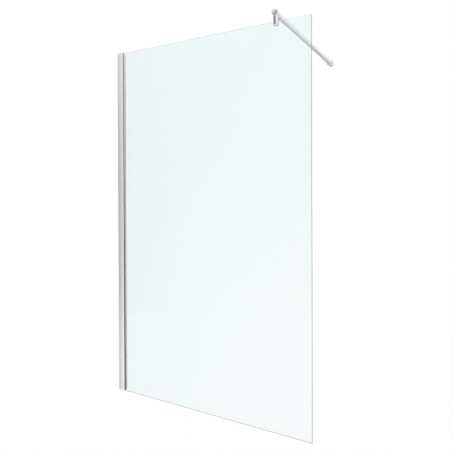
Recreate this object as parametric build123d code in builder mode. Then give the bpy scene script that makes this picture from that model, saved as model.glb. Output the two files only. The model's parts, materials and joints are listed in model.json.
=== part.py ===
# Walk-in shower screen: a fixed glass panel in a wall profile, held by a brace bar to a second wall.
# X runs from the profile's wall along the glass, Y from the glass to the brace's wall, Z is up.
# The origin is on the profile's wall, at the foot of the profile, in the middle of the glass thickness.
# All sizes are in millimetres.
import os
from build123d import *

os.makedirs("parts", exist_ok=True)

# The whole screen
screen_height = 2000.0
glass_below_profile = 6.0
screen_width = 1188.0
brace_reach = 950.0
clamp_from_free_edge = 177.0

# Glass
glass_thickness = 8.0
glass_corner_radius = 2.0
glass_arris = 0.7

# Clearances
wall_joint_gap = 1.0
slide_gap = 0.2
screw_gap = 0.3
thread_gap = 0.05
running_gap = 0.08
seat_gap = 0.1

# Width adjustment of the profile
width_adjustment = 15.0

# Glass channel, the extrusion that shows
channel_face_width = 43.5
channel_depth = 30.0
channel_wall = 1.6
channel_crown = 0.6
channel_corner_radius = 1.2
web_thickness = 2.0
pocket_depth = 14.5
pocket_side_room = 5.0
pocket_wall = 1.5
pocket_lip = 1.6
lip_rib = 1.2
glass_edge_room = 1.5

# Gaskets
gasket_bead = 0.8
gasket_bead_middle = 0.65
gasket_bead_reach = 9.4
gasket_tail = 1.2

# Wall channel, the extrusion screwed to the wall
wall_base_thickness = 2.0
wall_leg_thickness = 1.8
wall_leg_end_room = 2.0
leg_bead = 0.5
mark_groove_side = 0.8
wall_hole_diameter = 5.2
wall_hole_end_distance = 147.0
wall_hole_inner_spacing = 600.0

# Top cap of the channel
cap_thickness = 2.0
cap_tongue_length = 10.0

# Adjuster screws, plates and snap caps
adjuster_count = 3
adjuster_end_distance = 250.0
adjuster_diameter = 4.0
adjuster_from_edge = 5.7
adjuster_head_diameter = 7.6
adjuster_head_height = 2.4
adjuster_socket = 2.5
adjuster_socket_depth = 1.4
plate_length = 6.0
plate_height = 18.0
plate_thickness = 3.0
plate_corner = 0.75
snap_cap_diameter = 11.0
snap_cap_wall = 1.0
snap_cap_chamfer = 0.8

# Brace bar and sleeve
bar_diameter = 28.0
bar_wall = 1.2
bar_height_above_glass = 39.4
sleeve_wall = 1.4
sleeve_mouth_chamfer = 0.4
telescope_in = 40.0
telescope_out = 50.0
least_lap = 40.0
spigot_room = 11.0

# Glass clamp
stem_diameter = 26.5
stem_drop = 19.0
stem_chamfer = 0.8
head_wall = 1.5
head_front = 16.0
head_rear = 26.0
head_edge_chamfer = 0.6
clamp_pad = 1.5
pressure_plate_thickness = 2.5
pressure_plate_width = 15.0
pressure_plate_height = 14.0
pressure_plate_corner = 1.25
end_cap_thickness = 2.6
end_cap_chamfer = 0.9
end_cap_spigot = 5.0
bar_stop = 0.5
clamp_screw_diameter = 6.0
clamp_screw_socket = 3.0
clamp_screw_below_edge = 9.5
clamp_screw_recess = 0.6
grub_socket_share = 0.45
bar_screw_diameter = 6.0
bar_screw_length = 16.0

# Wall flange of the brace
flange_disc_diameter = 36.0
flange_disc_thickness = 4.0
flange_spigot_length = 18.0
flange_spigot_wall = 3.0
flange_hole_diameter = 4.5
flange_hole_spacing = 11.0
flange_countersink_diameter = 8.0
flange_cover_diameter = 40.0
flange_cover_length = 35.0
flange_cover_wall = 1.5
flange_cover_chamfer = 1.8
sleeve_screw_diameter = 4.0
sleeve_screw_socket = 2.0
sleeve_screw_from_mouth = 8.0
flange_screw_from_wall = 13.0

# Heights and places that follow from the sizes above
clamp_x = screen_width - clamp_from_free_edge
glass_half = glass_thickness / 2
glass_foot = -glass_below_profile
glass_top = glass_foot + screen_height
channel_start = wall_joint_gap
channel_end = channel_start + channel_face_width
channel_rear = channel_depth / 2
channel_front = -channel_depth / 2
channel_inside_half = channel_depth / 2 - channel_crown - channel_wall
pocket_start = channel_end - pocket_depth
web_start = pocket_start - web_thickness
pocket_half = glass_half + pocket_side_room
glass_start = pocket_start + glass_edge_room
glass_width = screen_width - glass_start
channel_top = glass_top - cap_thickness
wall_leg_outside_half = channel_inside_half - slide_gap
wall_leg_inside_half = wall_leg_outside_half - wall_leg_thickness
wall_leg_end = web_start - wall_leg_end_room
wall_channel_top = channel_top - slide_gap
adjuster_x = channel_start + adjuster_from_edge
adjuster_spacing = (glass_top - 2 * adjuster_end_distance) / (adjuster_count - 1)
adjuster_middle = glass_top / 2
bar_radius = bar_diameter / 2
bar_z = glass_top + bar_height_above_glass
bore_radius = bar_radius + running_gap
head_radius = bore_radius + head_wall
sleeve_radius = bore_radius + sleeve_wall
stem_radius = stem_diameter / 2
stem_bottom = glass_top - stem_drop
slot_front = -glass_half - clamp_pad
slot_rear = glass_half + clamp_pad + pressure_plate_thickness
slot_top = glass_top + clamp_pad
bar_start = end_cap_spigot + bar_stop - head_front
sleeve_end = brace_reach - flange_disc_thickness
spigot_end = sleeve_end - flange_spigot_length
bar_end = spigot_end - spigot_room - telescope_in
sleeve_start = bar_end - telescope_out - least_lap

# Planes that stand square to the brace bar and to the glass
bar_section = Plane(origin=(clamp_x, 0, bar_z), x_dir=(1, 0, 0), z_dir=(0, 1, 0))
clamp_plan = Plane(origin=(clamp_x, 0, stem_bottom), x_dir=(1, 0, 0), z_dir=(0, 0, 1))
clamp_side = Plane(origin=(clamp_x, 0, 0), x_dir=(0, 1, 0), z_dir=(1, 0, 0))
glass_face = Plane(origin=(0, -glass_half, 0), x_dir=(1, 0, 0), z_dir=(0, -1, 0))


def save(piece, name):
    """Label a finished piece and write it under the same name."""
    piece.label = name
    export_step(piece, f"parts/{name}.step")


def rear_plane(depth):
    """A plane that faces the brace wall, at a depth behind the glass."""
    return Plane(origin=(0, depth, 0), x_dir=(-1, 0, 0), z_dir=(0, 1, 0))


def adjuster_places():
    """The adjusters' places on a rear plane, up the height of the profile."""
    step = adjuster_spacing
    return [(-adjuster_x, adjuster_middle + step * (n - (adjuster_count - 1) / 2)) for n in range(adjuster_count)]


# Wall channel: a deep U with marked base, beaded legs, wall holes and adjuster slots
wall_hole_outer_spacing = glass_top - 2 * wall_hole_end_distance
slot_height = adjuster_diameter + 2 * screw_gap
with BuildPart() as wall_channel:
    with BuildSketch(Plane.XY):
        Rectangle(wall_leg_end, 2 * wall_leg_outside_half, align=(Align.MIN, Align.CENTER))
        with Locations((wall_base_thickness, 0)):
            Rectangle(
                wall_leg_end,
                2 * wall_leg_inside_half,
                align=(Align.MIN, Align.CENTER),
                mode=Mode.SUBTRACT,
            )
        with Locations((wall_base_thickness, 0)):
            Rectangle(mark_groove_side, mark_groove_side, rotation=45, mode=Mode.SUBTRACT)
        with Locations(
            (wall_leg_end - leg_bead, wall_leg_inside_half),
            (wall_leg_end - leg_bead, -wall_leg_inside_half),
        ):
            Circle(leg_bead)
    extrude(amount=wall_channel_top)
    with BuildSketch(Plane.YZ):
        with Locations((0, glass_top / 2)):
            with GridLocations(0, wall_hole_outer_spacing, 1, 2):
                Circle(wall_hole_diameter / 2)
            with GridLocations(0, wall_hole_inner_spacing, 1, 2):
                Circle(wall_hole_diameter / 2)
    extrude(amount=wall_base_thickness, mode=Mode.SUBTRACT)
    with BuildSketch(rear_plane(wall_leg_inside_half - leg_bead)):
        with Locations(*adjuster_places()):
            with Locations((-width_adjustment / 2, 0)):
                SlotCenterToCenter(width_adjustment, slot_height)
    extrude(amount=wall_leg_thickness + 2 * leg_bead, mode=Mode.SUBTRACT)
save(wall_channel.part, "wall_channel")


# Glass channel: slides over the wall channel and holds the glass in a ribbed pocket
with BuildPart() as glass_channel:
    with BuildSketch(Plane.XY) as channel_outline:
        with BuildLine():
            crown_edge = channel_front + channel_crown
            crown_middle = (channel_start + channel_end) / 2
            ThreePointArc(
                (channel_start, crown_edge),
                (crown_middle, channel_front),
                (channel_end, crown_edge),
            )
            Line((channel_end, crown_edge), (channel_end, channel_rear))
            Line((channel_end, channel_rear), (channel_start, channel_rear))
            Line((channel_start, channel_rear), (channel_start, crown_edge))
        make_face()
        fillet(channel_outline.vertices(), channel_corner_radius)
        with Locations((channel_start, 0)):
            Rectangle(
                web_start - channel_start,
                2 * channel_inside_half,
                align=(Align.MIN, Align.CENTER),
                mode=Mode.SUBTRACT,
            )
        with Locations((pocket_start, 0)):
            Rectangle(
                pocket_depth - pocket_lip,
                2 * pocket_half,
                align=(Align.MIN, Align.CENTER),
                mode=Mode.SUBTRACT,
            )
        with Locations((channel_end, 0)):
            Rectangle(
                pocket_lip,
                2 * (pocket_half - lip_rib),
                align=(Align.MAX, Align.CENTER),
                mode=Mode.SUBTRACT,
            )
        chamber_depth = channel_inside_half - pocket_half - pocket_wall
        chamber_middle = channel_inside_half - chamber_depth / 2
        with Locations((pocket_start, chamber_middle), (pocket_start, -chamber_middle)):
            Rectangle(
                pocket_depth - pocket_lip,
                chamber_depth,
                align=(Align.MIN, Align.CENTER),
                mode=Mode.SUBTRACT,
            )
    extrude(amount=channel_top)
    with BuildSketch(rear_plane(channel_inside_half)):
        with Locations(*adjuster_places()):
            Circle(adjuster_diameter / 2 + screw_gap)
    extrude(amount=channel_rear - channel_inside_half, mode=Mode.SUBTRACT)
save(glass_channel.part, "glass_channel")


# Top cap: closes the channel, with a slot for the glass and two tongues in the side chambers
with BuildPart() as channel_top_cap:
    with BuildSketch(Plane.XY.offset(channel_top)) as cap_outline:
        add(channel_outline.sketch.face().outer_wire())
        make_face()
        with Locations((glass_start - screw_gap, 0)):
            Rectangle(
                pocket_depth,
                glass_thickness + 2 * screw_gap,
                align=(Align.MIN, Align.CENTER),
                mode=Mode.SUBTRACT,
            )
    extrude(amount=cap_thickness)
    with BuildSketch(Plane.XY.offset(channel_top)):
        with Locations((pocket_start + seat_gap, chamber_middle), (pocket_start + seat_gap, -chamber_middle)):
            Rectangle(
                pocket_depth - pocket_lip - 2 * seat_gap,
                chamber_depth - 2 * seat_gap,
                align=(Align.MIN, Align.CENTER),
            )
    extrude(amount=-cap_tongue_length)
save(channel_top_cap.part, "channel_top_cap")


# Glass panel: one toughened pane with eased corners and arrised edges
with BuildPart() as glass_panel:
    with BuildSketch(glass_face) as pane:
        with Locations((glass_start, glass_foot)):
            Rectangle(glass_width, screen_height, align=(Align.MIN, Align.MIN))
        fillet(pane.vertices(), glass_corner_radius)
    extrude(amount=-glass_thickness)
    faces_of_pane = glass_panel.faces().filter_by(Axis.Y)
    chamfer(faces_of_pane.edges(), glass_arris)
save(glass_panel.part, "glass_panel")


def make_gasket(side):
    """A glazing gasket: a body behind the lip's rib, a neck and a rounded bead over the lip."""
    rib_start = channel_end - pocket_lip
    neck = pocket_half - lip_rib
    bead_end = channel_end + gasket_bead
    with BuildPart() as gasket:
        with BuildSketch(Plane.XY):
            with BuildLine():
                Polyline(
                    (bead_end, side * glass_half),
                    (glass_start, side * glass_half),
                    (glass_start, side * (glass_half + gasket_tail)),
                    (rib_start - gasket_tail, side * pocket_half),
                    (rib_start, side * pocket_half),
                    (rib_start, side * neck),
                    (channel_end, side * neck),
                    (channel_end, side * gasket_bead_reach),
                )
                ThreePointArc(
                    (channel_end, side * gasket_bead_reach),
                    (channel_end + gasket_bead_middle, side * (glass_half + gasket_bead_reach) / 2),
                    (bead_end, side * glass_half),
                )
            make_face()
        extrude(amount=channel_top)
    return gasket.part


# Gaskets on both sides of the glass
save(make_gasket(-1), "front_gasket")
save(make_gasket(1), "rear_gasket")


# Adjuster screws: pan heads on the channel's rear side, shanks through slot and plate
with BuildPart() as adjuster_screws:
    plate_inside = wall_leg_inside_half - plate_thickness
    with BuildSketch(rear_plane(plate_inside)):
        with Locations(*adjuster_places()):
            Circle(adjuster_diameter / 2)
    extrude(amount=channel_rear - plate_inside)
    with BuildSketch(rear_plane(channel_rear)):
        with Locations(*adjuster_places()):
            Circle(adjuster_head_diameter / 2)
    extrude(amount=adjuster_head_height)
    with BuildSketch(rear_plane(channel_rear + adjuster_head_height)):
        with Locations(*adjuster_places()):
            RegularPolygon(adjuster_socket / 2, 6, major_radius=False)
    extrude(amount=-adjuster_socket_depth, mode=Mode.SUBTRACT)
save(adjuster_screws.part, "adjuster_screws")


# Adjuster plates: tapped plates that the screws pull against the wall channel's rear leg
with BuildPart() as adjuster_plates:
    with BuildSketch(rear_plane(plate_inside)) as plate_outline:
        with Locations(*adjuster_places()):
            Rectangle(plate_length, plate_height)
        chamfer(plate_outline.vertices(), plate_corner)
        with Locations(*adjuster_places()):
            Circle(adjuster_diameter / 2 + thread_gap, mode=Mode.SUBTRACT)
    extrude(amount=plate_thickness)
save(adjuster_plates.part, "adjuster_plates")


# Snap caps: domed cups that hide the adjuster heads
with BuildPart() as adjuster_caps:
    snap_cap_height = adjuster_head_height + seat_gap + snap_cap_wall
    with BuildSketch(rear_plane(channel_rear)):
        with Locations(*adjuster_places()):
            Circle(snap_cap_diameter / 2)
    extrude(amount=snap_cap_height)
    chamfer(adjuster_caps.faces().sort_by(Axis.Y)[-adjuster_count:].edges(), snap_cap_chamfer)
    with BuildSketch(rear_plane(channel_rear)):
        with Locations(*adjuster_places()):
            Circle(snap_cap_diameter / 2 - snap_cap_wall)
    extrude(amount=snap_cap_height - snap_cap_wall, mode=Mode.SUBTRACT)
save(adjuster_caps.part, "adjuster_caps")


# Clamp body: a round stem slotted over the glass, with a cross head bored for the bar
clamp_screw_z = glass_top - clamp_screw_below_edge
bar_screw_top = bar_z - bar_radius
with BuildPart() as clamp_body:
    with BuildSketch(clamp_plan):
        Circle(stem_radius)
    extrude(amount=bar_z - stem_bottom)
    stem_foot = clamp_body.edges().sort_by(Axis.Z)[0]
    chamfer(stem_foot, stem_chamfer)
    with BuildSketch(bar_section.offset(-head_front)):
        Circle(head_radius)
    extrude(amount=head_front + head_rear)
    head_rim = clamp_body.edges().filter_by(GeomType.CIRCLE).sort_by(Axis.Y)[-1]
    chamfer(head_rim, head_edge_chamfer)
    with BuildSketch(bar_section.offset(-head_front)):
        Circle(bore_radius)
    extrude(amount=head_front + head_rear, mode=Mode.SUBTRACT)
    with BuildSketch(clamp_side):
        with Locations((slot_front, stem_bottom)):
            Rectangle(slot_rear - slot_front, slot_top - stem_bottom, align=(Align.MIN, Align.MIN))
    extrude(amount=stem_diameter, both=True, mode=Mode.SUBTRACT)
    with BuildSketch(Plane(origin=(clamp_x, slot_rear, clamp_screw_z), x_dir=(1, 0, 0), z_dir=(0, 1, 0))):
        Circle(clamp_screw_diameter / 2 + thread_gap)
    extrude(amount=stem_radius, mode=Mode.SUBTRACT)
    with BuildSketch(clamp_plan.offset(slot_top - stem_bottom)):
        Circle(bar_screw_diameter / 2 + thread_gap)
    extrude(amount=bar_z - slot_top, mode=Mode.SUBTRACT)
save(clamp_body.part, "clamp_body")


# Clamp gasket: a U of soft rubber over the glass edge, as wide as the stem allows
with BuildPart() as clamp_gasket:
    with BuildSketch(clamp_plan.offset(stem_chamfer)):
        Circle(stem_radius - stem_chamfer)
    extrude(amount=slot_top - stem_bottom - stem_chamfer)
    pad_rear = glass_half + clamp_pad
    with BuildSketch(clamp_side):
        with Locations((slot_front - stem_radius, stem_bottom)):
            Rectangle(stem_radius, stem_diameter * 2, align=(Align.MIN, Align.MIN))
        with Locations((pad_rear, stem_bottom)):
            Rectangle(stem_radius, stem_diameter * 2, align=(Align.MIN, Align.MIN))
        with Locations((0, stem_bottom)):
            Rectangle(glass_thickness, stem_drop, align=(Align.CENTER, Align.MIN))
    extrude(amount=stem_diameter, both=True, mode=Mode.SUBTRACT)
save(clamp_gasket.part, "clamp_gasket")


# Pressure plate: spreads the clamp screw's force over the gasket
with BuildPart() as clamp_pressure_plate:
    plate_face = Plane(origin=(clamp_x, pad_rear, clamp_screw_z), x_dir=(1, 0, 0), z_dir=(0, 1, 0))
    with BuildSketch(plate_face) as pressure_outline:
        Rectangle(pressure_plate_width, pressure_plate_height)
        chamfer(pressure_outline.vertices(), pressure_plate_corner)
    extrude(amount=pressure_plate_thickness)
save(clamp_pressure_plate.part, "clamp_pressure_plate")


def make_grub_screw(tip_plane, diameter, length, socket):
    """A headless screw that grows away from its tip, with a hexagon socket in the far end."""
    with BuildPart() as screw:
        with BuildSketch(tip_plane):
            Circle(diameter / 2)
        extrude(amount=length)
        with BuildSketch(tip_plane.offset(length)):
            RegularPolygon(socket / 2, 6, major_radius=False)
        extrude(amount=-length * grub_socket_share, mode=Mode.SUBTRACT)
    return screw.part


# Clamp screw: presses the plate from the rear of the stem
clamp_tip = Plane(origin=(clamp_x, slot_rear, clamp_screw_z), x_dir=(1, 0, 0), z_dir=(0, 1, 0))
clamp_screw_length = stem_radius - slot_rear - clamp_screw_recess
clamp_screw = make_grub_screw(clamp_tip, clamp_screw_diameter, clamp_screw_length, clamp_screw_socket)
save(clamp_screw, "clamp_screw")


# Bar screw: rises through the stem from the slot and presses on the bar
bar_tip = Plane(origin=(clamp_x, 0, bar_screw_top), x_dir=(1, 0, 0), z_dir=(0, 0, -1))
bar_screw = make_grub_screw(bar_tip, bar_screw_diameter, bar_screw_length, clamp_screw_socket)
save(bar_screw, "bar_screw")


# End cap: a disc with a bevelled rim and a spigot that closes the front of the clamp's head
with BuildPart() as clamp_end_cap:
    with BuildSketch(clamp_side):
        with BuildLine():
            disc_front = -head_front - end_cap_thickness
            rim_front = disc_front + end_cap_chamfer
            spigot_back = end_cap_spigot - head_front
            Polyline(
                (disc_front, bar_z),
                (spigot_back, bar_z),
                (spigot_back, bar_z + bar_radius),
                (-head_front, bar_z + bar_radius),
                (-head_front, bar_z + head_radius),
                (rim_front, bar_z + head_radius),
                (disc_front, bar_z + head_radius - end_cap_chamfer),
                close=True,
            )
        make_face()
    revolve(axis=Axis((clamp_x, 0, bar_z), (0, 1, 0)))
save(clamp_end_cap.part, "clamp_end_cap")


# Brace bar: from the clamp's head into the wall sleeve
with BuildPart() as brace_bar:
    with BuildSketch(bar_section.offset(bar_start)):
        Circle(bar_radius)
        Circle(bar_radius - bar_wall, mode=Mode.SUBTRACT)
    extrude(amount=bar_end - bar_start)
save(brace_bar.part, "brace_bar")


# Wall sleeve: takes the bar at one end and the flange's spigot at the other
with BuildPart() as brace_sleeve:
    with BuildSketch(bar_section.offset(sleeve_start)):
        Circle(sleeve_radius)
        Circle(bore_radius, mode=Mode.SUBTRACT)
    extrude(amount=sleeve_end - sleeve_start)
    mouth_rim = brace_sleeve.edges().filter_by(GeomType.CIRCLE).group_by(Axis.Y)[0].sort_by(SortBy.RADIUS)[-1]
    chamfer(mouth_rim, sleeve_mouth_chamfer)
    sleeve_screw_y = sleeve_start + sleeve_screw_from_mouth
    flange_screw_y = brace_reach - flange_screw_from_wall
    with BuildSketch(Plane(origin=(clamp_x, 0, bar_z), x_dir=(1, 0, 0), z_dir=(0, 0, -1))):
        with Locations((0, -sleeve_screw_y), (0, -flange_screw_y)):
            Circle(sleeve_screw_diameter / 2 + thread_gap)
    extrude(amount=sleeve_radius + running_gap, mode=Mode.SUBTRACT)
save(brace_sleeve.part, "brace_sleeve")


# Sleeve screw: holds the bar in the sleeve at the chosen length
sleeve_tip = Plane(origin=(clamp_x, sleeve_screw_y, bar_z - bar_radius), z_dir=(0, 0, -1))
sleeve_screw_length = sleeve_radius - bar_radius
sleeve_screw = make_grub_screw(sleeve_tip, sleeve_screw_diameter, sleeve_screw_length, sleeve_screw_socket)
save(sleeve_screw, "sleeve_screw")


# Flange base: a disc for the wall with a hollow spigot around its two countersunk holes
with BuildPart() as flange_base:
    with BuildSketch(bar_section.offset(sleeve_end)):
        Circle(flange_disc_diameter / 2)
    extrude(amount=flange_disc_thickness)
    with BuildSketch(bar_section.offset(spigot_end)):
        Circle(bar_radius)
        Circle(bar_radius - flange_spigot_wall, mode=Mode.SUBTRACT)
    extrude(amount=flange_spigot_length)
    flange_floor = Plane(origin=(clamp_x, sleeve_end, bar_z), x_dir=(0, 0, 1), z_dir=(0, -1, 0))
    with Locations(flange_floor):
        with GridLocations(flange_hole_spacing, 0, 2, 1):
            CounterSinkHole(flange_hole_diameter / 2, flange_countersink_diameter / 2, flange_disc_thickness)
    with BuildSketch(Plane(origin=(clamp_x, flange_screw_y, bar_z), z_dir=(0, 0, -1))):
        Circle(sleeve_screw_diameter / 2 + thread_gap)
    extrude(amount=bar_diameter, mode=Mode.SUBTRACT)
save(flange_base.part, "flange_base")


# Flange screw: pins the sleeve to the spigot, under the cover
flange_screw_top = bar_radius - flange_spigot_wall
flange_tip = Plane(origin=(clamp_x, flange_screw_y, bar_z - flange_screw_top), z_dir=(0, 0, -1))
flange_screw_length = sleeve_radius - flange_screw_top
flange_screw = make_grub_screw(flange_tip, sleeve_screw_diameter, flange_screw_length, sleeve_screw_socket)
save(flange_screw, "flange_screw")


# Flange cover: a bevelled cup that slides along the sleeve and hides the flange
with BuildPart() as flange_cover:
    with BuildSketch(bar_section.offset(brace_reach - flange_cover_length)):
        Circle(flange_cover_diameter / 2)
    extrude(amount=flange_cover_length)
    cover_front = flange_cover.edges().filter_by(GeomType.CIRCLE).sort_by(Axis.Y)[0]
    chamfer(cover_front, flange_cover_chamfer)
    with BuildSketch(bar_section.offset(brace_reach - flange_cover_length + flange_cover_wall)):
        Circle(flange_cover_diameter / 2 - flange_cover_wall)
    extrude(amount=flange_cover_length, mode=Mode.SUBTRACT)
    with BuildSketch(bar_section.offset(brace_reach - flange_cover_length)):
        Circle(sleeve_radius + running_gap)
    extrude(amount=flange_cover_length, mode=Mode.SUBTRACT)
save(flange_cover.part, "flange_cover")
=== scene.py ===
import json
import math

import bmesh
import bpy
from mathutils import Matrix, Vector


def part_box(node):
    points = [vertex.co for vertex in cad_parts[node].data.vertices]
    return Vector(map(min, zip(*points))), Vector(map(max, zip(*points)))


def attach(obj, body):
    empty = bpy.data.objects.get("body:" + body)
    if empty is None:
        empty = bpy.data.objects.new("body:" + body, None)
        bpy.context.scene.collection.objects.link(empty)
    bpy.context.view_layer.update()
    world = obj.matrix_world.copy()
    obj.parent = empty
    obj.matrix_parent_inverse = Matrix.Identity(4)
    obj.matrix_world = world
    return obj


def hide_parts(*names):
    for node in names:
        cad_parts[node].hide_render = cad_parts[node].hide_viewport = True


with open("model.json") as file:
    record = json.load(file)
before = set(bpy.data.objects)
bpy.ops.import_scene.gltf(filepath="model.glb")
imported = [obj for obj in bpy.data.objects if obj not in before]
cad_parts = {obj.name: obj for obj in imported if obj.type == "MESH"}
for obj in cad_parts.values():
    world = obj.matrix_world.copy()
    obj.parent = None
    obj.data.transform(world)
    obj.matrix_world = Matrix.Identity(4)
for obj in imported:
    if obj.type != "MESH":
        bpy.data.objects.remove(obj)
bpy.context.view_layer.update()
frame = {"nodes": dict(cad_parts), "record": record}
nodes = frame["nodes"]
MM = 0.001

# Places read from the frame, in metres
glass_low, glass_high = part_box("glass_panel")
channel_low, channel_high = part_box("glass_channel")
bar_low, bar_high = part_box("brace_bar")
sleeve_low, sleeve_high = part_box("brace_sleeve")
cover_low, cover_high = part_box("flange_cover")
cap_low, cap_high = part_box("clamp_end_cap")
bar_x = (bar_low.x + bar_high.x) / 2
bar_z = (bar_low.z + bar_high.z) / 2


def outer_radius(low, high):
    """A round piece's radius about the brace's axis, from its box."""
    return min(high.x - low.x, high.z - low.z) / 2


# Node helpers
def new_material(name):
    """A material with a cleared tree, its Principled shader and its output."""
    mat = bpy.data.materials.new(name)
    mat.use_nodes = True
    tree = mat.node_tree
    tree.nodes.clear()
    out = tree.nodes.new("ShaderNodeOutputMaterial")
    shader = tree.nodes.new("ShaderNodeBsdfPrincipled")
    tree.links.new(shader.outputs["BSDF"], out.inputs["Surface"])
    return mat, tree, shader, out


def object_coords(tree, scale=(1, 1, 1)):
    """Object-space coordinates, scaled per axis, as a vector socket."""
    coord = tree.nodes.new("ShaderNodeTexCoord")
    mapping = tree.nodes.new("ShaderNodeMapping")
    mapping.inputs["Scale"].default_value = scale
    tree.links.new(coord.outputs["Object"], mapping.inputs["Vector"])
    return mapping.outputs["Vector"]


def split_axes(tree, vector):
    """A vector's X, Y and Z sockets."""
    split = tree.nodes.new("ShaderNodeSeparateXYZ")
    tree.links.new(vector, split.inputs["Vector"])
    return split.outputs["X"], split.outputs["Y"], split.outputs["Z"]


def noise(tree, vector, scale, detail, rough=0.5):
    """A noise texture's value."""
    node = tree.nodes.new("ShaderNodeTexNoise")
    node.inputs["Scale"].default_value = scale
    node.inputs["Detail"].default_value = detail
    node.inputs["Roughness"].default_value = rough
    tree.links.new(vector, node.inputs["Vector"])
    return node.outputs["Fac"]


def map_range(tree, value, given, wanted=(0.0, 1.0), smooth=False):
    """value moved from the given pair of limits to the wanted pair, and held within it."""
    node = tree.nodes.new("ShaderNodeMapRange")
    node.interpolation_type = "SMOOTHSTEP" if smooth else "LINEAR"
    node.inputs["From Min"].default_value, node.inputs["From Max"].default_value = given
    node.inputs["To Min"].default_value, node.inputs["To Max"].default_value = wanted
    tree.links.new(value, node.inputs["Value"])
    return node.outputs["Result"]


def math_node(tree, operation, a, b):
    """A math node on two sockets or numbers."""
    node = tree.nodes.new("ShaderNodeMath")
    node.operation = operation
    for socket, value in zip(node.inputs, (a, b)):
        if isinstance(value, (int, float)):
            socket.default_value = value
        else:
            tree.links.new(value, socket)
    return node.outputs["Value"]


def mix_colour(tree, factor, a, b):
    """A mix of two colours or colour sockets by a factor socket."""
    node = tree.nodes.new("ShaderNodeMix")
    node.data_type = "RGBA"
    tree.links.new(factor, node.inputs["Factor"])
    colour_inputs = [socket for socket in node.inputs if socket.type == "RGBA"]
    for socket, value in zip(colour_inputs, (a, b)):
        if isinstance(value, tuple):
            socket.default_value = (*value, 1.0)
        else:
            tree.links.new(value, socket)
    return next(socket for socket in node.outputs if socket.type == "RGBA")


def mix_shaders(tree, factor, first, second, out):
    """Two shaders mixed by a factor socket and sent to the material's output."""
    mix = tree.nodes.new("ShaderNodeMixShader")
    tree.links.new(factor, mix.inputs["Fac"])
    for socket, shader in zip(mix.inputs[1:], (first, second)):
        tree.links.new(shader, socket)
    tree.links.new(mix.outputs["Shader"], out.inputs["Surface"])


def bump(tree, shader, height, strength, distance):
    """Bump from a height socket, on the shader's normal."""
    node = tree.nodes.new("ShaderNodeBump")
    node.inputs["Strength"].default_value = strength
    node.inputs["Distance"].default_value = distance
    tree.links.new(height, node.inputs["Height"])
    tree.links.new(node.outputs["Normal"], shader.inputs["Normal"])


def face_normal(tree):
    """The X, Y and Z of the surface's outward normal, also where a ray meets it from inside."""
    geometry = tree.nodes.new("ShaderNodeNewGeometry")
    outward = tree.nodes.new("ShaderNodeVectorMath")
    outward.operation = "SCALE"
    side = map_range(tree, geometry.outputs["Backfacing"], (0.0, 1.0), (1.0, -1.0))
    tree.links.new(geometry.outputs["Normal"], outward.inputs[0])
    tree.links.new(side, outward.inputs["Scale"])
    return split_axes(tree, outward.outputs["Vector"])


def seen_directly(tree):
    """1 for what the camera sees itself and through glass, and 0 for the rest."""
    path = tree.nodes.new("ShaderNodeLightPath")
    return math_node(tree, "MAXIMUM", path.outputs["Is Camera Ray"], path.outputs["Is Transmission Ray"])


# Metals
METAL_BROAD_SCALE = 9.0
METAL_DETAIL = 4.0
METAL_FINE_ROUGHNESS = 0.6
METAL_NOISE_LIMITS = (0.35, 0.65)
METAL_GRAIN_DEPTH = 0.1 * MM


def metal(name, dark, light, roughness, grain, bump_strength):
    """A metal whose tone and roughness wander along its grain, with fine grain in its bump."""
    mat, tree, shader, _ = new_material(name)
    broad = noise(tree, object_coords(tree), METAL_BROAD_SCALE, METAL_DETAIL)
    fine = noise(tree, object_coords(tree, grain), 1.0, METAL_DETAIL, METAL_FINE_ROUGHNESS)
    blend = math_node(tree, "MULTIPLY", math_node(tree, "ADD", broad, fine), 0.5)
    tree.links.new(mix_colour(tree, blend, dark, light), shader.inputs["Base Color"])
    tree.links.new(map_range(tree, blend, METAL_NOISE_LIMITS, roughness), shader.inputs["Roughness"])
    shader.inputs["Metallic"].default_value = 1.0
    bump(tree, shader, fine, bump_strength, METAL_GRAIN_DEPTH)
    return mat


PROFILE_METALLIC = 0.4
# Painted shade on the profile, deeper at the wall than at the glass: how deep over its lower part, and at its
# top
PROFILE_SHADE_LOWER = 0.41
PROFILE_SHADE_TOP = 0.15
# The share of its height that the lower part takes up
PROFILE_SHADE_TURN = 0.65
# Painted shade on the side face in front of the glass, deepest at its foot, and painted light on the side
# face behind it
PAINTED_FLANK_SHADE_LOWER = (0.01, 0.01, 0.0105)
PAINTED_FLANK_SHADE_UPPER = (0.14, 0.14, 0.143)
PAINTED_REAR_FLANK_LIGHT = (0.99, 0.99, 0.99)
# The sideways part of the normal where the face ends and where the flank is full
FLANK_NORMALS = (0.07, 0.25)


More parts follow.
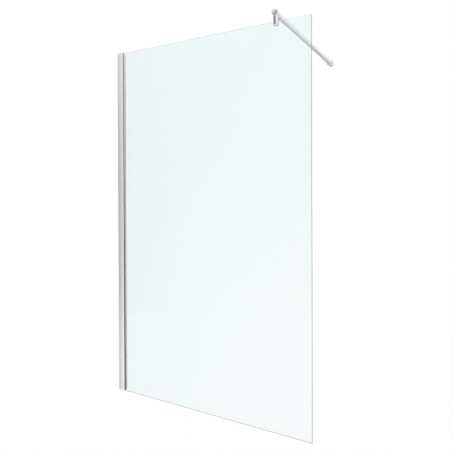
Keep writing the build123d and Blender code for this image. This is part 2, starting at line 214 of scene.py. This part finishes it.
def satin_profile():
    """The profile's aluminium: satin, with painted shade towards the wall and on the side face before the
    glass, and painted light on the side face behind it.
    """
    mat = metal(
        "polished_aluminium",
        dark=(0.91, 0.91, 0.92),
        light=(0.98, 0.98, 0.99),
        roughness=(0.34, 0.44),
        grain=(2500, 2500, 3),
        bump_strength=0.08,
    )
    tree = mat.node_tree
    shader = tree.nodes["Principled BSDF"]
    bright = shader.inputs["Base Color"].links[0].from_socket
    x, y, z = split_axes(tree, object_coords(tree))
    height = map_range(tree, z, (channel_low.z, channel_high.z))
    at_wall = map_range(tree, x, (channel_low.x, channel_high.x), (1.0, 0.0))
    # painted shade towards the wall, lessening towards the top
    depth = map_range(tree, height, (PROFILE_SHADE_TURN, 1.0), (PROFILE_SHADE_LOWER, PROFILE_SHADE_TOP))
    face = mix_colour(tree, math_node(tree, "MULTIPLY", at_wall, depth), bright, (0.0, 0.0, 0.0))
    # painted shade on the side face in front of the glass, deepest at its foot
    flank_shade = mix_colour(tree, height, PAINTED_FLANK_SHADE_LOWER, PAINTED_FLANK_SHADE_UPPER)
    sideways = map_range(tree, face_normal(tree)[0], FLANK_NORMALS)
    in_front = map_range(tree, y, (glass_low.y, 0.0), (1.0, 0.0))
    behind = map_range(tree, y, (0.0, glass_high.y))
    on_flank = math_node(tree, "MULTIPLY", sideways, in_front)
    on_rear_flank = math_node(tree, "MULTIPLY", sideways, behind)
    # painted light: the side face behind the glass is near-white and, below, not metallic
    face = mix_colour(tree, on_rear_flank, face, PAINTED_REAR_FLANK_LIGHT)
    tree.links.new(mix_colour(tree, on_flank, face, flank_shade), shader.inputs["Base Color"])
    metallic = map_range(tree, on_rear_flank, (0.0, 1.0), (PROFILE_METALLIC, 0.0))
    tree.links.new(metallic, shader.inputs["Metallic"])
    return mat


CHROME = metal(
    "chrome",
    dark=(0.82, 0.82, 0.83),
    light=(0.88, 0.88, 0.89),
    roughness=(0.05, 0.10),
    grain=(600, 60, 600),
    bump_strength=0.03,
)
POLISHED = satin_profile()
MILL = metal(
    "mill_aluminium",
    dark=(0.62, 0.62, 0.64),
    light=(0.72, 0.72, 0.73),
    roughness=(0.30, 0.42),
    grain=(2500, 2500, 4),
    bump_strength=0.2,
)
STEEL = metal(
    "stainless_steel",
    dark=(0.55, 0.55, 0.56),
    light=(0.68, 0.68, 0.68),
    roughness=(0.22, 0.34),
    grain=(900, 900, 900),
    bump_strength=0.15,
)


# Glass
# The pane's tint fades along a diagonal, which weighs the way across the pane against the way down it
FADE_ACROSS = 0.42
FADE_LIMITS = (0.22, 0.93)
FADE_WANDER = (-0.08, 0.08)
WANDER_SCALE = (0.6, 0.6, 0.6)
WANDER_NOISE_LIMITS = (0.3, 0.7)
# The band beside the profile in which the pane is paler
PALE_BAND = 26 * MM
GLASS_UPPER = (0.846, 0.921, 0.930)
GLASS_LOWER = (0.927, 0.951, 0.954)
GLASS_EDGE_LOWER = (0.13, 0.17, 0.16)
GLASS_EDGE_SIDE = (0.13, 0.17, 0.16)
# The top edge is painted pale, as painted light, while the side and bottom edges keep the glass's green-grey
GLASS_EDGE_UPPER_PAINTED_LIGHT = (0.92, 0.95, 0.95)
GLASS_SHADOW = (0.93, 0.97, 0.97, 1.0)
GLASS_IOR = 1.5
# How much of the light the glass scatters instead of passing, in the pane and at its edges; in the pane this
# scatter is a painted reflection, a pale veil
PANE_HAZE = 0.09
EDGE_HAZE_LOWER = 0.75
EDGE_HAZE_SIDE = 0.84
# little haze on the top edge, part of its painted light
EDGE_HAZE_UPPER = 0.06
# The part of the normal across the pane where the pane ends and where its edge is full, and the upright
# part of the normal where the top or bottom edge starts and is full
EDGE_ACROSS_NORMALS = (0.95, 0.6)
EDGE_UPRIGHT_NORMALS = (0.2, 0.6)


def pane_colour(tree):
    """The pane's pale tint, in a soft diagonal fade, and clear beside the profile."""
    x, _, z = split_axes(tree, object_coords(tree))
    across = map_range(tree, x, (glass_low.x, glass_high.x))
    down = map_range(tree, z, (glass_high.z, glass_low.z))
    slope = math_node(
        tree,
        "ADD",
        math_node(tree, "MULTIPLY", across, FADE_ACROSS),
        math_node(tree, "MULTIPLY", down, 1.0 - FADE_ACROSS),
    )
    wander = noise(tree, object_coords(tree, WANDER_SCALE), 1.0, 1.0)
    fade = math_node(tree, "ADD", slope, map_range(tree, wander, WANDER_NOISE_LIMITS, FADE_WANDER))
    share = map_range(tree, fade, FADE_LIMITS, smooth=True)
    beside = map_range(tree, x, (channel_high.x, channel_high.x + PALE_BAND), (1.0, 0.0), smooth=True)
    return mix_colour(tree, beside, mix_colour(tree, share, GLASS_UPPER, GLASS_LOWER), (1.0, 1.0, 1.0))


def make_glass():
    """Clear toughened glass, with a darker green-grey on its side and bottom edges, and painted light on its
    top edge.
    """
    mat, tree, shader, out = new_material("clear_glass")
    _, normal_y, normal_z = face_normal(tree)
    on_edge = map_range(tree, math_node(tree, "ABSOLUTE", normal_y, 0.0), EDGE_ACROSS_NORMALS)
    start, full = EDGE_UPRIGHT_NORMALS
    upward = map_range(tree, normal_z, (start, full))
    downward = map_range(tree, normal_z, (-start, -full))
    # painted light on the top edge, which faces up
    edge = mix_colour(tree, upward, GLASS_EDGE_SIDE, GLASS_EDGE_UPPER_PAINTED_LIGHT)
    edge = mix_colour(tree, downward, edge, GLASS_EDGE_LOWER)
    tree.links.new(mix_colour(tree, on_edge, pane_colour(tree), edge), shader.inputs["Base Color"])
    haze = map_range(tree, upward, (0.0, 1.0), (EDGE_HAZE_SIDE, EDGE_HAZE_UPPER))
    less_below = map_range(tree, downward, (0.0, 1.0), (0.0, EDGE_HAZE_LOWER - EDGE_HAZE_SIDE))
    haze = math_node(tree, "MULTIPLY", math_node(tree, "ADD", haze, less_below), on_edge)
    # the pane's haze, a painted reflection veil
    haze = math_node(tree, "MAXIMUM", haze, PANE_HAZE)
    tree.links.new(math_node(tree, "SUBTRACT", 1.0, haze), shader.inputs["Transmission Weight"])
    shader.inputs["IOR"].default_value = GLASS_IOR
    shader.inputs["Roughness"].default_value = 0.0
    clear = tree.nodes.new("ShaderNodeBsdfTransparent")
    clear.inputs["Color"].default_value = GLASS_SHADOW
    path = tree.nodes.new("ShaderNodeLightPath")
    mix_shaders(tree, path.outputs["Is Shadow Ray"], shader.outputs["BSDF"], clear.outputs["BSDF"], out)
    return mat


GLASS = make_glass()


# Rubber and plastic
SOFT_TONE_SCALE = 60.0
SOFT_TONE_DETAIL = 3.0
SOFT_NOISE_LIMITS = (0.3, 0.7)
SOFT_ROUGHNESS_WANDER = 0.06
SOFT_GRAIN_DETAIL = 2.0
SOFT_BUMP_STRENGTH = 0.15
SOFT_GRAIN_DEPTH = 0.2 * MM
SUBSURFACE_REACH = 8 * MM


def soft_material(name, dark, light, rough, grain, subsurface=0.0):
    """A rubber or plastic with a mottled tone and a fine grain, which may let light into its surface."""
    mat, tree, shader, _ = new_material(name)
    vector = object_coords(tree)
    tone = noise(tree, vector, SOFT_TONE_SCALE, SOFT_TONE_DETAIL)
    roughness = (rough - SOFT_ROUGHNESS_WANDER, rough + SOFT_ROUGHNESS_WANDER)
    tree.links.new(mix_colour(tree, tone, dark, light), shader.inputs["Base Color"])
    tree.links.new(map_range(tree, tone, SOFT_NOISE_LIMITS, roughness), shader.inputs["Roughness"])
    shader.inputs["Subsurface Weight"].default_value = subsurface
    shader.inputs["Subsurface Radius"].default_value = (1.0, 1.0, 1.0)
    shader.inputs["Subsurface Scale"].default_value = SUBSURFACE_REACH
    bump(tree, shader, noise(tree, vector, grain, SOFT_GRAIN_DETAIL), SOFT_BUMP_STRENGTH, SOFT_GRAIN_DEPTH)
    return mat


RUBBER_LOOK = {"dark": (0.90, 0.91, 0.91), "light": (0.95, 0.96, 0.96), "rough": 0.45, "grain": 3000.0}
# Painted shade where the gasket meets the profile, near-black at the foot and paler upwards
PAINTED_LIP_SHADE_LOWER = (0.008, 0.008, 0.0085)
PAINTED_LIP_SHADE_UPPER = (0.55, 0.56, 0.56)
LIP_FROM_GLASS = 1.6 * MM
LIP_BLEND = 0.5 * MM


def lip_shaded_rubber():
    """The front gasket's rubber: pale beside the glass, with painted shade against the profile that is
    near-black at the foot and paler upwards.
    """
    mat = soft_material("lip_shaded_gasket_rubber", **RUBBER_LOOK)
    tree = mat.node_tree
    shader = tree.nodes["Principled BSDF"]
    pale = shader.inputs["Base Color"].links[0].from_socket
    _, y, z = split_axes(tree, object_coords(tree))
    # painted shade against the profile, deepest at the foot
    lip_shade = mix_colour(tree, map_range(tree, z, (channel_low.z, channel_high.z)), PAINTED_LIP_SHADE_LOWER, PAINTED_LIP_SHADE_UPPER)
    lip_edge = glass_low.y - LIP_FROM_GLASS
    on_lip = map_range(tree, y, (lip_edge, lip_edge - LIP_BLEND))
    tree.links.new(mix_colour(tree, on_lip, pale, lip_shade), shader.inputs["Base Color"])
    return mat


RUBBER = soft_material("gasket_rubber", **RUBBER_LOOK, subsurface=1.0)
LIP_SHADED_RUBBER = lip_shaded_rubber()
PLASTIC = soft_material(
    "cap_plastic",
    dark=(0.42, 0.43, 0.44),
    light=(0.50, 0.51, 0.52),
    rough=0.38,
    grain=2500.0,
)

# The record's material slots
MATERIALS = {
    "mill_aluminium": MILL,
    "polished_aluminium": POLISHED,
    "cap_plastic": PLASTIC,
    "clear_glass": GLASS,
    "gasket_rubber": RUBBER,
    "stainless_steel": STEEL,
    "chrome": CHROME,
}


def dress(obj, mat):
    """Gives an object one material."""
    obj.data.materials.clear()
    obj.data.materials.append(mat)


slot_of = {part["node"]: part["material_slot"] for part in frame["record"]["subparts"]}
for node_name, node in nodes.items():
    dress(node, MATERIALS[slot_of[node_name]])
dress(nodes["front_gasket"], LIP_SHADED_RUBBER)

# Round pieces, turned more finely than the CAD mesh
TURN_SIDES = 128
SHARP_ANGLE = math.radians(28)


def circle_points(centre_x, centre_y, radius, sides):
    """Points evenly round a circle, anticlockwise from its first axis."""
    points = []
    for step in range(sides):
        angle = 2 * math.pi * step / sides
        points.append((centre_x + radius * math.cos(angle), centre_y + radius * math.sin(angle)))
    return points


def turn_piece(name, loop, node_name, body, closed=True):
    """A piece turned about the brace's axis from a loop of (radius, y), in place of a CAD node."""
    bm = bmesh.new()
    rings = []
    for radius, y in loop:
        if radius == 0:
            rings.append([bm.verts.new((bar_x, y, bar_z))])
            continue
        circle = circle_points(bar_x, bar_z, radius, TURN_SIDES)
        rings.append([bm.verts.new((x, y, z)) for x, z in circle])
    pairs = list(zip(rings, rings[1:]))
    if closed:
        pairs.append((rings[-1], rings[0]))
    for first, second in pairs:
        for step in range(TURN_SIDES):
            following = (step + 1) % TURN_SIDES
            if len(first) == 1:
                bm.faces.new((first[0], second[following], second[step]))
            elif len(second) == 1:
                bm.faces.new((first[step], first[following], second[0]))
            else:
                bm.faces.new((first[step], first[following], second[following], second[step]))
    bmesh.ops.recalc_face_normals(bm, faces=bm.faces)
    mesh = bpy.data.meshes.new(name)
    bm.to_mesh(mesh)
    bm.free()
    mesh.shade_smooth()
    mesh.set_sharp_from_angle(angle=SHARP_ANGLE)
    piece = bpy.data.objects.new(name, mesh)
    bpy.context.collection.objects.link(piece)
    dress(piece, CHROME)
    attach(piece, body)
    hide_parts(node_name)


def rounded(centre_radius, centre_y, size, start, end, steps):
    """Points of (radius, y) on an arc, with its angles in degrees from the outward radius towards +Y."""
    points = []
    for step in range(steps + 1):
        angle = math.radians(start + (end - start) * step / steps)
        points.append((centre_radius + size * math.cos(angle), centre_y + size * math.sin(angle)))
    return points


# Brace bar
BAR_WALL = 1.2 * MM
bar_radius = outer_radius(bar_low, bar_high)
bar_inner = bar_radius - BAR_WALL
turn_piece(
    "bar_tube",
    [(bar_radius, bar_low.y), (bar_radius, bar_high.y), (bar_inner, bar_high.y), (bar_inner, bar_low.y)],
    "brace_bar",
    "brace",
)

# End cap, with a light crown, a rounded rim and the spigot that fills the head
CAP_THICKNESS = 2.6 * MM
CROWN_HEIGHT = 0.8 * MM
CROWN_FROM_RIM = 0.7 * MM
CROWN_STEPS = 8
RIM_ROUND = 0.6 * MM
RIM_CENTRE_BEHIND = 0.55 * MM
RIM_START = -75
RIM_STEPS = 6
CAP_SEAT_CHAMFER = 0.12 * MM
cap_radius = outer_radius(cap_low, cap_high)
cap_seat = cap_low.y + CAP_THICKNESS
crown = [(0.0, cap_low.y)]
for step in range(1, CROWN_STEPS + 1):
    share = step / CROWN_STEPS
    crown.append(((cap_radius - CROWN_FROM_RIM) * share, cap_low.y + CROWN_HEIGHT * share**2))
rim_centre_y = crown[-1][1] + RIM_CENTRE_BEHIND
rim = rounded(cap_radius - RIM_ROUND, rim_centre_y, RIM_ROUND, RIM_START, 0, RIM_STEPS)
seat_and_spigot = [
    (cap_radius, cap_seat - CAP_SEAT_CHAMFER),
    (cap_radius - CAP_SEAT_CHAMFER, cap_seat),
    (bar_radius, cap_seat),
    (bar_radius, cap_high.y),
    (0.0, cap_high.y),
]
turn_piece("head_cap", crown + rim + seat_and_spigot, "clamp_end_cap", "brace", closed=False)

# Flange cover, a cup with a rounded front
COVER_WALL = 1.5 * MM
COVER_GAP = 0.08 * MM
COVER_ROUND = 2.6 * MM
COVER_ROUND_STEPS = 10
COVER_MOUTH_CHAMFER = 0.25 * MM
cover_radius = outer_radius(cover_low, cover_high)
cover_bore = (sleeve_high.x - sleeve_low.x) / 2 + COVER_GAP
cover_inner = cover_radius - COVER_WALL
cover_mouth = [
    (cover_bore, cover_low.y + COVER_WALL),
    (cover_bore, cover_low.y + COVER_MOUTH_CHAMFER),
    (cover_bore + COVER_MOUTH_CHAMFER, cover_low.y),
]
cover_front = rounded(
    cover_radius - COVER_ROUND,
    cover_low.y + COVER_ROUND,
    COVER_ROUND,
    -90,
    0,
    COVER_ROUND_STEPS,
)
cover_skirt = [
    (cover_radius, cover_high.y),
    (cover_inner, cover_high.y),
    (cover_inner, cover_low.y + COVER_WALL),
]
turn_piece("flange_cup", cover_mouth + cover_front + cover_skirt, "flange_cover", "cover")

# Floor
FLOOR_CENTRE = Vector((0.6, 0.4))
FLOOR_RADIUS = 2.4
FLOOR_SIDES = 96
FLOOR_GAP = 1 * MM
FLOOR_COLOUR = (0.9, 0.9, 0.9, 1.0)
# How much of the floor is plain white to the camera: this share near its middle, and all of it at its rim
FLOOR_WHITE_SHARE = 0.94
FLOOR_FADE = (0.35 * FLOOR_RADIUS, 0.95 * FLOOR_RADIUS)


def make_floor():
    """A round pale floor that shows white to the camera, keeps a soft shadow and fades out at its rim."""
    mesh = bpy.data.meshes.new("floor")
    bm = bmesh.new()
    level = glass_low.z - FLOOR_GAP
    rim_points = circle_points(FLOOR_CENTRE.x, FLOOR_CENTRE.y, FLOOR_RADIUS, FLOOR_SIDES)
    bm.faces.new([bm.verts.new((x, y, level)) for x, y in rim_points])
    bm.to_mesh(mesh)
    bm.free()
    floor = bpy.data.objects.new("floor", mesh)
    bpy.context.collection.objects.link(floor)
    mat, tree, shader, out = new_material("pale_floor")
    shader.inputs["Base Color"].default_value = FLOOR_COLOUR
    shader.inputs["Roughness"].default_value = 0.9
    shader.inputs["Specular IOR Level"].default_value = 0.0
    white = tree.nodes.new("ShaderNodeEmission")
    white.inputs["Color"].default_value = (1.0, 1.0, 1.0, 1.0)
    reach = tree.nodes.new("ShaderNodeVectorMath")
    reach.operation = "DISTANCE"
    reach.inputs[1].default_value = (FLOOR_CENTRE.x, FLOOR_CENTRE.y, level)
    tree.links.new(object_coords(tree), reach.inputs[0])
    share = map_range(tree, reach.outputs["Value"], FLOOR_FADE, (FLOOR_WHITE_SHARE, 1.0), smooth=True)
    factor = math_node(tree, "MULTIPLY", seen_directly(tree), share)
    mix_shaders(tree, factor, shader.outputs["BSDF"], white.outputs["Emission"], out)
    dress(floor, mat)


make_floor()

# World
AMBIENT = 0.85
# Each region of the studio that isn't plain: its direction, the cosines where it starts and is full,
# and how much greyer it is; a minus makes it brighter
STUDIO_SHADES = (
    ((-0.8, 0.45, -0.45), -0.25, 0.9, 0.53),
    ((-0.95, -0.25, 0.15), 0.62, 0.93, 0.80),
    ((-0.1, -0.97, 0.15), 0.80, 1.0, 0.63),
    ((0.75, 0.57, 0.35), 0.88, 0.98, 0.62),
    ((0.0, 0.9, 0.42), 0.84, 0.97, -0.15),
)


def toward(tree, coords, direction, start, full):
    """How far a world direction points towards a given one, from 0 at start to 1 at full, as cosines."""
    dot = tree.nodes.new("ShaderNodeVectorMath")
    dot.operation = "DOT_PRODUCT"
    dot.inputs[1].default_value = Vector(direction).normalized()
    tree.links.new(coords, dot.inputs[0])
    return map_range(tree, dot.outputs["Value"], (start, full), smooth=True)


def make_world():
    """White to the camera and through glass, a soft studio to reflections, and plain ambient light."""
    world = bpy.data.worlds.new("studio")
    bpy.context.scene.world = world
    world.use_nodes = True
    tree = world.node_tree
    tree.nodes.clear()
    coord = tree.nodes.new("ShaderNodeTexCoord")
    level = 1.0
    for direction, start, full, depth in STUDIO_SHADES:
        near = toward(tree, coord.outputs["Generated"], direction, start, full)
        shade = map_range(tree, near, (0.0, 1.0), (1.0, 1.0 - depth))
        level = math_node(tree, "MULTIPLY", level, shade)
    glossy = tree.nodes.new("ShaderNodeLightPath").outputs["Is Glossy Ray"]
    studio = math_node(tree, "MULTIPLY", glossy, level)
    ambient = math_node(tree, "MULTIPLY", math_node(tree, "SUBTRACT", 1.0, glossy), AMBIENT)
    other = math_node(tree, "ADD", studio, ambient)
    background = tree.nodes.new("ShaderNodeBackground")
    background.inputs["Color"].default_value = (1.0, 1.0, 1.0, 1.0)
    strength = math_node(tree, "MAXIMUM", seen_directly(tree), other)
    tree.links.new(strength, background.inputs["Strength"])
    out = tree.nodes.new("ShaderNodeOutputWorld")
    tree.links.new(background.outputs["Background"], out.inputs["Surface"])


make_world()

# Lamps
LAMP_SIZE = 2.5
LAMP_TARGET = Vector((0.6, 0.2, 1.0))


def area_lamp(name, place, power):
    """A square soft lamp aimed at the middle of the screen."""
    data = bpy.data.lights.new(name, "AREA")
    data.shape = "SQUARE"
    data.size = LAMP_SIZE
    data.energy = power
    lamp = bpy.data.objects.new(name, data)
    lamp.location = place
    lamp.rotation_euler = (LAMP_TARGET - Vector(place)).to_track_quat("-Z", "Y").to_euler()
    bpy.context.collection.objects.link(lamp)


area_lamp("key", (-1.6, -2.8, 6.5), 90.0)
area_lamp("fill", (3.6, -1.0, 4.5), 45.0)

# Camera, from the fitted perspective of the photograph's 452-pixel frame
FRAME_PIXELS = 452.0
SENSOR_WIDTH = 36.0
camera_place = Vector((1.8394, -1.9724, 1.1616))
camera_yaw = math.radians(29.345)
camera_pitch = math.radians(-0.356)
camera_roll = math.radians(-0.203)
focal_pixels = 438.14
centre_x_pixel = 226.22
centre_y_pixel = 196.44

forward = Vector((
    -math.sin(camera_yaw) * math.cos(camera_pitch),
    math.cos(camera_yaw) * math.cos(camera_pitch),
    math.sin(camera_pitch),
))
level_right = forward.cross(Vector((0, 0, 1))).normalized()
level_up = level_right.cross(forward)
right = level_right * math.cos(camera_roll) + level_up * math.sin(camera_roll)
up = level_up * math.cos(camera_roll) - level_right * math.sin(camera_roll)
turn = Matrix((right, up, -forward)).transposed()
camera_data = bpy.data.cameras.new("camera")
camera_data.sensor_width = SENSOR_WIDTH
camera_data.lens = focal_pixels * SENSOR_WIDTH / FRAME_PIXELS
camera_data.shift_x = (FRAME_PIXELS / 2 - centre_x_pixel) / FRAME_PIXELS
camera_data.shift_y = (centre_y_pixel - FRAME_PIXELS / 2) / FRAME_PIXELS
camera = bpy.data.objects.new("camera", camera_data)
camera.matrix_world = Matrix.Translation(camera_place) @ turn.to_4x4()
bpy.context.collection.objects.link(camera)
bpy.context.scene.camera = camera
bpy.context.scene.view_settings.view_transform = "Standard"
